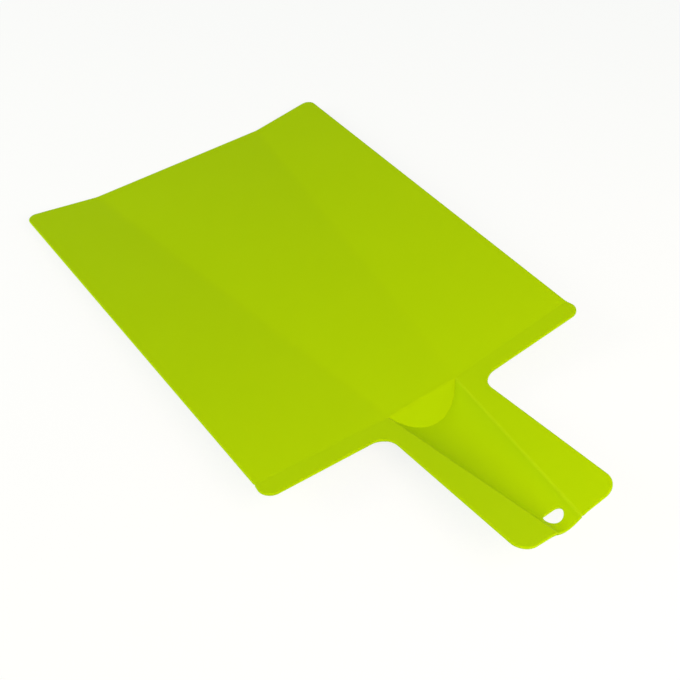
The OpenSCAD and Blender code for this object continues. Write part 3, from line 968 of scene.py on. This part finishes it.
def hinge_face(below, above, w, pins):
    """Upper face of a hinge, bent smoothly between the panels on its two sides.

    below and above map places along and across the crease to the two panels. pins
    are places along the crease where its middle is drawn to a shared fold corner.
    """

    def bent(l, e):
        a = below(l, np.full(len(l), -w))
        b = above(l, np.full(len(l), w))
        ta = (a - below(l, np.full(len(l), -w - TINY))) / TINY
        tb = (above(l, np.full(len(l), w + TINY)) - b) / TINY
        t = ((e + w) / (2 * w))[:, None]
        return (
            (2 * t**3 - 3 * t**2 + 1) * a + (t**3 - 2 * t**2 + t) * 2 * w * ta
            + (3 * t**2 - 2 * t**3) * b + (t**3 - t**2) * 2 * w * tb
        )

    pulls = [
        (at, corner - bent(np.array([at]), np.array([0.0]))[0]) for at, corner in pins
    ]

    def place(l, e):
        p = bent(l, e)
        across = np.maximum(1 - (e / w) ** 2, 0) ** 2
        for at, pull in pulls:
            p = p + (across * np.exp(-(((l - at) / (2 * w)) ** 2)))[:, None] * pull
        return p

    def face(q):
        l, e = np.asarray(q, float).T
        dl = place(l + TINY, e) - place(l - TINY, e)
        de = place(l, e + TINY) - place(l, e - TINY)
        return place(l, e), units(np.cross(dl, de))

    return face


def hinge(name, form, below, above, first, last, pins, side, bulge=None):
    """A thin hinge web.

    first and last give, for the lower panel, the crease and the upper panel, how
    far along the crease the web begins and ends. pins hold the fold corner at each
    end, or None at a free end. bulge, from a distance across the crease, is how
    much further a free end stands out.
    """
    w = form.s.hinge_w
    ends = list(zip((first, last), pins))
    face = hinge_face(
        below, above, w, [(end[1], pin) for end, pin in ends if pin is not None]
    )
    if bulge:
        last = [at + bulge(e) for at, e in zip(last, (w, 0.0, w))]
    outline = [] if pins[0] is None else [np.array([first[1], 0.0])]
    a, b = np.array([first[0], -w]), np.array([last[0], -w])
    outline += spread(a, b, WEB_STEP) + [b]
    kinds = ["butt"] * (len(outline) - 1)
    if pins[1] is not None:
        outline.append(np.array([last[1], 0.0]))
        kinds += ["butt", "butt"]
    elif bulge:
        between = np.linspace(-w, w, len(WEB_ROWS) + 2)[1:-1]
        middle = last[1] - bulge(0.0)
        outline += [np.array([middle + bulge(e), e]) for e in between]
        kinds += ["rim"] * (len(between) + 1)
    else:
        kinds.append("rim")
    a, b = np.array([last[2], w]), np.array([first[2], w])
    outline += spread(a, b, WEB_STEP) + [b]
    kinds += ["butt"] * (len(outline) - len(kinds) - 1)
    kinds.append("rim" if pins[0] is None else "butt")
    rows = []
    for share in WEB_ROWS:
        k = 0 if share < 0 else 2
        rows.append([
            np.array([end[1] + (end[k] - end[1]) * abs(share), share * w])
            for end in (first, last)
        ])
    return sheet(
        name, face, [np.array(outline)], [kinds], form.s.web_t, form,
        rows=along_rows(rows, WEB_STEP), side=side,
    )


def node(tree, kind, label, place, **values):
    """A labelled shader node with its inputs or properties set."""
    n = tree.nodes.new(kind)
    n.label = label
    n.location = place
    for key, value in values.items():
        if hasattr(n, key):
            setattr(n, key, value)
        else:
            n.inputs[key.replace("_", " ")].default_value = value
    return n


def cleared_tree(owner):
    """The empty shader tree of a material or a world."""
    owner.use_nodes = True
    owner.node_tree.nodes.clear()
    return owner.node_tree


def seen_directly(tree):
    """1 where the camera sees a place directly, in a gloss or through something."""
    path = node(tree, "ShaderNodeLightPath", "Ray kind", (-700, 400))
    total = path.outputs["Is Camera Ray"]
    for i, kind in enumerate(("Is Glossy Ray", "Is Transmission Ray")):
        both = node(
            tree, "ShaderNodeMath", kind, (-500 + 200 * i, 400),
            operation="ADD", use_clamp=True,
        )
        tree.links.new(total, both.inputs[0])
        tree.links.new(path.outputs[kind], both.inputs[1])
        total = both.outputs["Value"]
    return total


def moulded_plastic(name, light, deep):
    """Polypropylene with a fine moulded grain and slightly uneven colour."""
    found = bpy.data.materials.get(name)
    if found:
        return found
    finish = bpy.context.scene.board_finish
    material = bpy.data.materials.new(name)
    tree = cleared_tree(material)
    out = node(tree, "ShaderNodeOutputMaterial", "Output", (900, 0))
    skin = node(
        tree, "ShaderNodeBsdfPrincipled", "Polypropylene", (600, 0),
        IOR=1.49, Specular_IOR_Level=0.05, Specular_Tint=(1.0, 1.0, 0.0, 1.0),
        Subsurface_Weight=0.12, Subsurface_Radius=(0.7, 1.0, 0.05),
        Subsurface_Scale=0.002,
    )
    place = node(tree, "ShaderNodeTexCoord", "Place on the board", (-900, 0))
    cloud = node(
        tree, "ShaderNodeTexNoise", "Uneven colour", (-600, 200), Scale=22.0, Detail=3.0
    )
    grain = node(
        tree, "ShaderNodeTexNoise", "Moulded grain", (-600, -200),
        Scale=1400.0, Detail=2.0,
    )
    speck = node(
        tree, "ShaderNodeTexVoronoi", "Fine pits", (-600, -450), Scale=700.0
    )
    shade = node(
        tree, "ShaderNodeMix", "Light and deep lime", (-250, 250),
        data_type="RGBA", A=(*light, 1.0), B=(*deep, 1.0),
    )
    gloss = node(
        tree, "ShaderNodeMapRange", "Uneven gloss", (-250, 0),
        To_Min=finish.roughness - 0.05, To_Max=finish.roughness + 0.08,
    )
    height = node(
        tree, "ShaderNodeMath", "Grain height", (-250, -250), operation="MULTIPLY"
    )
    bump = node(
        tree, "ShaderNodeBump", "Grain relief", (200, -250),
        Strength=finish.grain, Distance=0.00006,
    )
    link = tree.links.new
    for texture in (cloud, grain, speck):
        link(place.outputs["Object"], texture.inputs["Vector"])
    link(cloud.outputs["Fac"], shade.inputs["Factor"])
    link(shade.outputs["Result"], skin.inputs["Base Color"])
    link(cloud.outputs["Fac"], gloss.inputs["Value"])
    link(gloss.outputs["Result"], skin.inputs["Roughness"])
    link(grain.outputs["Fac"], height.inputs[0])
    link(speck.outputs["Distance"], height.inputs[1])
    link(height.outputs["Value"], bump.inputs["Height"])
    link(bump.outputs["Normal"], skin.inputs["Normal"])
    link(skin.outputs["BSDF"], out.inputs["Surface"])
    return material


def panel_plastic():
    """The material of the panels."""
    finish = bpy.context.scene.board_finish
    return moulded_plastic("Lime polypropylene", finish.green, finish.deep_green)


def web_painted_light_plastic():
    """The material of the handle's hinges, lighter in colour as painted light that stands
    in for light shining through the thin web.
    """
    finish = bpy.context.scene.board_finish
    return moulded_plastic("Lime polypropylene, thin", finish.web_painted_light_green, finish.green)


def dress(obj, material, body, *nodes):
    """Gives a rigid piece its finish, its body and the solids that it stands for."""
    obj.data.materials.append(material)
    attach(obj, body)
    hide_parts(*nodes)


def dress_hinge(obj, material, bodies, start, end, *nodes):
    """Gives a hinge its finish, bakes its place into its points and hides the solids that
    it stands for.
    """
    obj.data.materials.append(material)
    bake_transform(obj)
    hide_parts(*nodes)


def panel_pair(form, skin, face, loop, kinds, body, solid, **inner):
    """Builds and dresses a panel and its mirror image on the left."""
    for side, word in SIDE_NAMES.items():
        obj = sheet(
            f"{word}_{skin}", face, [loop], [kinds], form.s.sheet_t, form,
            side=side, **inner,
        )
        dress(obj, panel_plastic(), f"{word}_{body}", f"{word}_{solid}")


def board_form():
    """The board's form at the sizes set in the scene."""
    return BoardForm(bpy.context.scene.board_sizes)


class BOARD_OT_centre_panel(Operator):
    """Builds the flat middle of the board"""

    bl_idname = "board.centre_panel"
    bl_label = "Centre Panel"
    bl_options = {"REGISTER", "UNDO"}

    def execute(self, context):
        form = board_form()
        near, far = form.centre_in, form.centre_far
        loop = np.array([near, far, flip(far), flip(near)])
        kinds = ["groove", "rim", "groove", "groove"]
        rows = []
        for a, b in form.bend_rows(-form.board_out, near, SIDEWAYS, SIDEWAYS):
            rows += [(a, b), (flip(a), flip(b))]
        obj = sheet(
            "centre_panel", form.centre_face, [loop], [kinds], form.s.sheet_t, form,
            rows=along_rows(rows, ROW_STEP),
        )
        dress(obj, panel_plastic(), "board_centre", "board_centre_panel")
        return {"FINISHED"}


class BOARD_OT_board_wings(Operator):
    """Builds the two sides of the board, which fold up"""

    bl_idname = "board.board_wings"
    bl_label = "Board Wings"
    bl_options = {"REGISTER", "UNDO"}

    def execute(self, context):
        form = board_form()
        s = form.s
        bend = corner(form.near, form.far_corner, form.far, s.far_corner_r, form.steps)
        loop = np.array([form.wing_in, form.wing_near, *bend, form.wing_far])
        kinds = ["groove"] + ["rim"] * (len(bend) + 1) + ["groove"]
        rows = form.bend_rows(
            form.board_out, form.fold + form.near_in * s.hinge_w, form.near_dir,
            form.far_corner - form.far,
        )
        panel_pair(
            form, "wing_skin", form.wing_face, loop, kinds, "wing", "board_wing",
            rows=along_rows(rows, ROW_STEP),
        )
        return {"FINISHED"}


class BOARD_OT_near_lips(Operator):
    """Builds the narrow turned-up lips along the near edge"""

    bl_idname = "board.near_lips"
    bl_label = "Near Lips"
    bl_options = {"REGISTER", "UNDO"}

    def execute(self, context):
        form = board_form()
        s, c = form.s, form.lip_round
        bend_in = arc(
            c, form.on_seam(form.seam_dir, c),
            touch(form.lip_corner, form.neck_corner, c), form.steps,
        )
        bend_out = corner(
            form.neck_corner, form.lip_corner, form.near, s.near_corner_r, form.steps
        )
        loop = np.array([form.lip_in, *bend_in, *bend_out, form.lip_near])
        kinds = ["butt"] + ["rim"] * (len(bend_in) + len(bend_out)) + ["groove"]
        panel_pair(form, "lip_skin", form.lip_face, loop, kinds, "lip", "near_lip")
        return {"FINISHED"}


class BOARD_OT_handle_wings(Operator):
    """Builds the two twisted sides of the handle"""

    bl_idname = "board.handle_wings"
    bl_label = "Handle Wings"
    bl_options = {"REGISTER", "UNDO"}

    def execute(self, context):
        form = board_form()
        s, w, c = form.s, form.s.hinge_w, form.handle_round
        t = np.linspace(0, 1 + form.tip_bulge(w) / s.handle_len, CREASE_POINTS)
        inner = (form.crease_at(t) + w * form.ruling(t))[:, :2]
        inner_end = (form.tip_crease + w * form.ruling(np.array([1.0]))[0])[:2]
        crease_tip, tip = form.tip_crease[:2], form.tip_corner[:2]
        neck = form.neck_top[:2]
        bend_out = corner(crease_tip, tip, neck, s.tip_corner_r, form.steps)
        seam_end = form.on_seam(unit(neck - form.fold), c)
        bend_in = arc(c, touch(tip, neck, c), seam_end, form.steps)
        tip_side = [
            p - [0.0, form.tip_bulge(np.linalg.norm(p - inner_end) + w)]
            for p in spread(inner_end, bend_out[0], END_STEP)[1:]
        ]
        edge = spread(bend_out[-1], bend_in[0], EDGE_STEP)[1:]
        free = [*tip_side, *bend_out, *edge, *bend_in]
        loop = np.array([*inner, *free])
        kinds = ["groove"] * (len(inner) - 1) + ["rim"] * len(free) + ["butt"]
        along, across = HANDLE_GRID
        shares = np.linspace(0, GRID_REACH, across)
        points = []
        for share in np.linspace(0, 1, along)[1:-1]:
            t = np.array([share])
            a, b = form.crease_at(t)[0], form.edge_at(t)[0]
            points += [(a + (b - a) * k)[:2] for k in shares]
        panel_pair(
            form, "handle_skin", form.handle_face, loop, kinds, "handle_wing",
            "handle_wing", points=points,
        )
        return {"FINISHED"}


class BOARD_OT_handle_trough(Operator):
    """Builds the conical trough of the handle with its hanging hole"""

    bl_idname = "board.handle_trough"
    bl_label = "Handle Trough"
    bl_options = {"REGISTER", "UNDO"}

    def execute(self, context):
        form = board_form()
        s = form.s
        y = np.linspace(
            form.trough_y, -s.handle_len - form.tip_bulge(s.hinge_w), WALL_POINTS
        )
        right = np.column_stack([form.trough_border(y), y])
        half = form.half - s.hinge_w / s.trough_tip_r
        turn = np.linspace(-half, half, END_POINTS)[1:-1]
        from_crease = s.trough_tip_r * (form.half - np.abs(turn))
        end = np.column_stack([
            s.trough_tip_r * np.sin(turn), -s.handle_len - form.tip_bulge(from_crease)
        ])
        lens = form.lens_curve(form.trough_y)
        loop = np.vstack([right * [-1, 1], end, right[::-1], lens[1:-1]])
        grooves = ["groove"] * (len(right) - 1)
        kinds = grooves + ["rim"] * (len(end) + 1) + grooves
        kinds += form.lens_mitres(lens, False)
        hole = form.hole_outline()[::-1]
        along, across = TROUGH_GRID
        turns = np.linspace(-form.half, form.half, across)
        points = []
        for at in np.linspace(0, 1, along)[1:-1] * -s.handle_len:
            points += [(form.trough_r(at) * math.sin(a), at) for a in turns]
        obj = sheet(
            "trough_skin", form.trough_face, [loop, hole],
            [kinds, ["hole"] * len(hole)], s.sheet_t, form, points=points,
        )
        dress(obj, panel_plastic(), "handle_spine", "handle_trough")
        return {"FINISHED"}


class BOARD_OT_neck_facet(Operator):
    """Builds the sloping facet that closes the trough under the neck"""

    bl_idname = "board.neck_facet"
    bl_label = "Neck Facet"
    bl_options = {"REGISTER", "UNDO"}

    def execute(self, context):
        form = board_form()
        lens = form.lens_curve(form.facet_y)
        kinds = form.lens_mitres(lens, True)[::-1] + ["groove"]
        obj = sheet(
            "facet_skin", form.facet_face, [lens[::-1]], [kinds], form.s.sheet_t, form
        )
        dress(obj, panel_plastic(), "handle_spine", "neck_facet")
        return {"FINISHED"}


class BOARD_OT_hinges(Operator):
    """Builds the seven thin hinges that join the panels"""

    bl_idname = "board.hinges"
    bl_label = "Moulded Hinges"
    bl_options = {"REGISTER", "UNDO"}

    def execute(self, context):
        form = board_form()
        self.neck(form)
        for side, word in SIDE_NAMES.items():
            self.board(form, side, word)
            self.lip(form, side, word)
            self.handle(form, side, word)
        return {"FINISHED"}

    def span(self, form, middle, across, side):
        """The points on both sides of a crease, across times the hinge's half width from
        it, as the board stands.
        """
        mirror = np.array([side, 1, 1])
        w = form.s.hinge_w
        return [form.stood((middle + across * e) * mirror) for e in (-w, w)]

    def neck(self, form):
        """The hinge across the neck."""
        a = form.s.facet_slope

        def below(l, e):
            return form.facet_face(np.column_stack([l, e * math.cos(a)]))[0]

        def above(l, e):
            return form.centre_face(np.column_stack([l, e]))[0]

        last = [float(form.lens_x(form.facet_y)), form.fold[0], form.centre_in[0]]
        obj = hinge(
            "neck_hinge_skin", form, below, above, [-x for x in last], last,
            (form.fold_top * [-1, 1, 1], form.fold_top), RIGHT,
        )
        across = unit(np.array([0.0, 1 + math.cos(a), math.sin(a)]))
        start, end = self.span(form, np.zeros(3), across, RIGHT)
        dress_hinge(
            obj, panel_plastic(), ("handle_spine", "board_centre"), start, end,
            "neck_hinge",
        )

    def board(self, form, side, word):
        """The hinge between the centre panel and one side of the board."""
        # The crease runs backwards here, so that its upper side faces up
        way, out = -form.board_dir, form.board_out
        first, last = (
            [(p - form.fold) @ way for p in ends]
            for ends in (
                (form.centre_far, form.far, form.wing_far),
                (form.centre_in, form.fold, form.wing_in),
            )
        )
        obj = hinge(
            f"{word}_board_hinge_skin", form, form.beside(form.centre_face, way, out),
            form.beside(form.wing_face, way, out), first, last,
            (None, form.fold_top), side,
        )
        start, end = self.span(form, form.crease_top, raised(out, 0.0), side)
        dress_hinge(
            obj, panel_plastic(), ("board_centre", f"{word}_wing"), start, end,
            f"{word}_board_hinge",
        )

    def lip(self, form, side, word):
        """The hinge between one side of the board and its lip."""
        way, out = form.near_dir, form.near_in
        first, last = (
            [(p - form.fold) @ way for p in ends]
            for ends in (
                (form.lip_in, form.fold, form.wing_in),
                (form.lip_near, form.near, form.wing_near),
            )
        )
        obj = hinge(
            f"{word}_lip_hinge_skin", form, form.beside(form.lip_face, way, out),
            form.beside(form.wing_face, way, out), first, last,
            (form.fold_top, None), side,
        )
        across = form.wing_turned(raised(out, 0.0))
        start, end = self.span(form, form.crease_top, across, side)
        dress_hinge(
            obj, panel_plastic(), (f"{word}_lip", f"{word}_wing"), start, end,
            f"{word}_lip_hinge",
        )

    def handle(self, form, side, word):
        """The hinge between the trough and one side of the handle."""
        crease_len = form.handle_crease

        def below(l, e):
            y = -form.s.handle_len * l / crease_len
            r = form.trough_r(y)
            a = form.half + e / r
            return np.column_stack([r * np.sin(a), y, form.axis_z - r * np.cos(a)])

        def above(l, e):
            t = l / crease_len
            return form.crease_at(t) + e[:, None] * form.ruling(t)

        first = (-form.trough_y / form.s.handle_len * crease_len, 0.0, 0.0)
        obj = hinge(
            f"{word}_handle_hinge_skin", form, below, above, first, (crease_len,) * 3,
            (form.fold_top, None), side, form.tip_bulge,
        )
        middle = (form.crease_top + form.tip_crease) / 2
        wall = np.array([math.cos(form.half), 0.0, math.sin(form.half)])
        across = unit(wall + form.ruling(np.array([0.5]))[0])
        crease = unit(form.tip_crease - form.crease_top)
        # The rulings lean, so the web's edges lie a little nearer to the crease
        across = HANDLE_BEND_SHARE * unit(across - (across @ crease) * crease)
        start, end = self.span(form, middle, across, side)
        # The handle hinges get the lighter material: painted light standing in for light
        # shining through the thin web.
        dress_hinge(
            obj, web_painted_light_plastic(), ("handle_spine", f"{word}_handle_wing"), start, end,
            f"{word}_handle_hinge",
        )


class BOARD_OT_stage(Operator):
    """Builds the pale floor, the soft lights and the camera"""

    bl_idname = "board.stage"
    bl_label = "Studio"
    bl_options = {"REGISTER", "UNDO"}

    def execute(self, context):
        studio = context.scene.board_studio
        self.floor()
        self.room(context, studio)
        self.lights(studio)
        self.camera(context, studio)
        context.scene.view_settings.view_transform = "Standard"
        return {"FINISHED"}

    def floor(self):
        """A wide floor of white paper, which takes soft shadows."""
        mesh = bpy.data.meshes.new("studio_floor")
        mesh.from_pydata(
            [
                (x * FLOOR_HALF, y * FLOOR_HALF, -FLOOR_DROP)
                for x, y in ((-1, -1), (1, -1), (1, 1), (-1, 1))
            ],
            [], [(0, 1, 2, 3)],
        )
        obj = add_object("studio_floor", mesh)
        material = bpy.data.materials.new("Studio paper")
        tree = cleared_tree(material)
        out = node(tree, "ShaderNodeOutputMaterial", "Output", (600, 0))
        paper = node(tree, "ShaderNodeBsdfDiffuse", "Paper", (0, 100), Color=PAPER)
        glow = node(
            tree, "ShaderNodeEmission", "White ground", (0, -100), Strength=1.0
        )
        share = node(
            tree, "ShaderNodeMath", "Share of white", (0, 300), operation="MULTIPLY"
        )
        share.inputs[1].default_value = GROUND_WHITE
        mix = node(tree, "ShaderNodeMixShader", "Ground", (300, 0))
        link = tree.links.new
        link(seen_directly(tree), share.inputs[0])
        link(share.outputs["Value"], mix.inputs["Fac"])
        link(paper.outputs["BSDF"], mix.inputs[1])
        link(glow.outputs["Emission"], mix.inputs[2])
        link(mix.outputs["Shader"], out.inputs["Surface"])
        mesh.materials.append(material)

    def room(self, context, studio):
        """Even light from all round, seen directly as the pale backdrop."""
        world = bpy.data.worlds.new("Studio room")
        context.scene.world = world
        tree = cleared_tree(world)
        out = node(tree, "ShaderNodeOutputWorld", "Output", (600, 0))
        even = node(
            tree, "ShaderNodeBackground", "Room light", (0, 100),
            Color=(*studio.room_colour, 1.0), Strength=studio.room_strength,
        )
        white = node(
            tree, "ShaderNodeBackground", "White backdrop", (0, -100), Color=BACKDROP
        )
        mix = node(tree, "ShaderNodeMixShader", "Backdrop", (300, 0))
        link = tree.links.new
        link(seen_directly(tree), mix.inputs["Fac"])
        link(even.outputs["Background"], mix.inputs[1])
        link(white.outputs["Background"], mix.inputs[2])
        link(mix.outputs["Shader"], out.inputs["Surface"])

    def lights(self, studio):
        """The soft boxes."""
        for word, at, size in SOFT_BOXES:
            data = bpy.data.lights.new(f"{word}_light", "AREA")
            data.shape = "SQUARE"
            data.size = size
            data.energy = getattr(studio, f"{word}_power")
            data.color = getattr(studio, f"{word}_colour")
            obj = add_object(f"{word}_light", data)
            obj.location = at
            way = Vector(LIT_PLACE) - Vector(at)
            obj.rotation_euler = way.to_track_quat("-Z", "Y").to_euler()

    def camera(self, context, studio):
        """The camera, placed over the board as it is moulded."""
        form = board_form()
        az, el = studio.azimuth, studio.elevation
        forward = np.array([
            -math.sin(az) * math.cos(el), math.cos(az) * math.cos(el), -math.sin(el)
        ])
        right = unit(np.cross(forward, [0.0, 0.0, 1.0]))
        up = np.cross(right, forward)
        right, up, back = (form.turn @ v for v in (right, up, -forward))
        at = form.stood(np.array(studio.camera_at))
        data = bpy.data.cameras.new("studio_camera")
        data.sensor_width = SENSOR_MM
        data.lens = studio.focal_px / PICTURE_PX * SENSOR_MM
        data.shift_x = studio.shift_px / PICTURE_PX
        data.clip_start = NEAREST
        obj = add_object("studio_camera", data)
        obj.matrix_world = Matrix([*zip(right, up, back, at), (0, 0, 0, 1)])
        context.scene.camera = obj


class BOARD_PT_sidebar(Panel):
    """Lists the board's sizes, its finish and its builders"""

    bl_idname = "BOARD_PT_sidebar"
    bl_label = "Folding Cutting Board"
    bl_space_type = "VIEW_3D"
    bl_region_type = "UI"
    bl_category = "Cutting Board"

    def draw(self, context):
        layout = self.layout
        for title, group in (
            ("Sizes", context.scene.board_sizes),
            ("Finish", context.scene.board_finish),
            ("Studio", context.scene.board_studio),
        ):
            box = layout.box()
            box.label(text=title)
            for key in group.__annotations__:
                box.prop(group, key)
        for operator in OPERATORS:
            layout.operator(operator.bl_idname)


OPERATORS = (
    BOARD_OT_centre_panel,
    BOARD_OT_board_wings,
    BOARD_OT_near_lips,
    BOARD_OT_neck_facet,
    BOARD_OT_handle_trough,
    BOARD_OT_handle_wings,
    BOARD_OT_hinges,
    BOARD_OT_stage,
)
CLASSES = (BoardSizes, BoardFinish, StudioSettings, *OPERATORS, BOARD_PT_sidebar)


def register():
    """Adds the settings, the builders and the sidebar to Blender."""
    for cls in CLASSES:
        bpy.utils.register_class(cls)
    bpy.types.Scene.board_sizes = PointerProperty(type=BoardSizes)
    bpy.types.Scene.board_finish = PointerProperty(type=BoardFinish)
    bpy.types.Scene.board_studio = PointerProperty(type=StudioSettings)


def unregister():
    """Takes them out again."""
    del bpy.types.Scene.board_studio
    del bpy.types.Scene.board_finish
    del bpy.types.Scene.board_sizes
    for cls in reversed(CLASSES):
        bpy.utils.unregister_class(cls)


def main():
    """Builds the board and its studio."""
    register()
    bpy.ops.board.centre_panel()
    bpy.ops.board.board_wings()
    bpy.ops.board.near_lips()
    bpy.ops.board.neck_facet()
    bpy.ops.board.handle_trough()
    bpy.ops.board.handle_wings()
    bpy.ops.board.hinges()
    bpy.ops.board.stage()


if __name__ == "__main__":
    main()
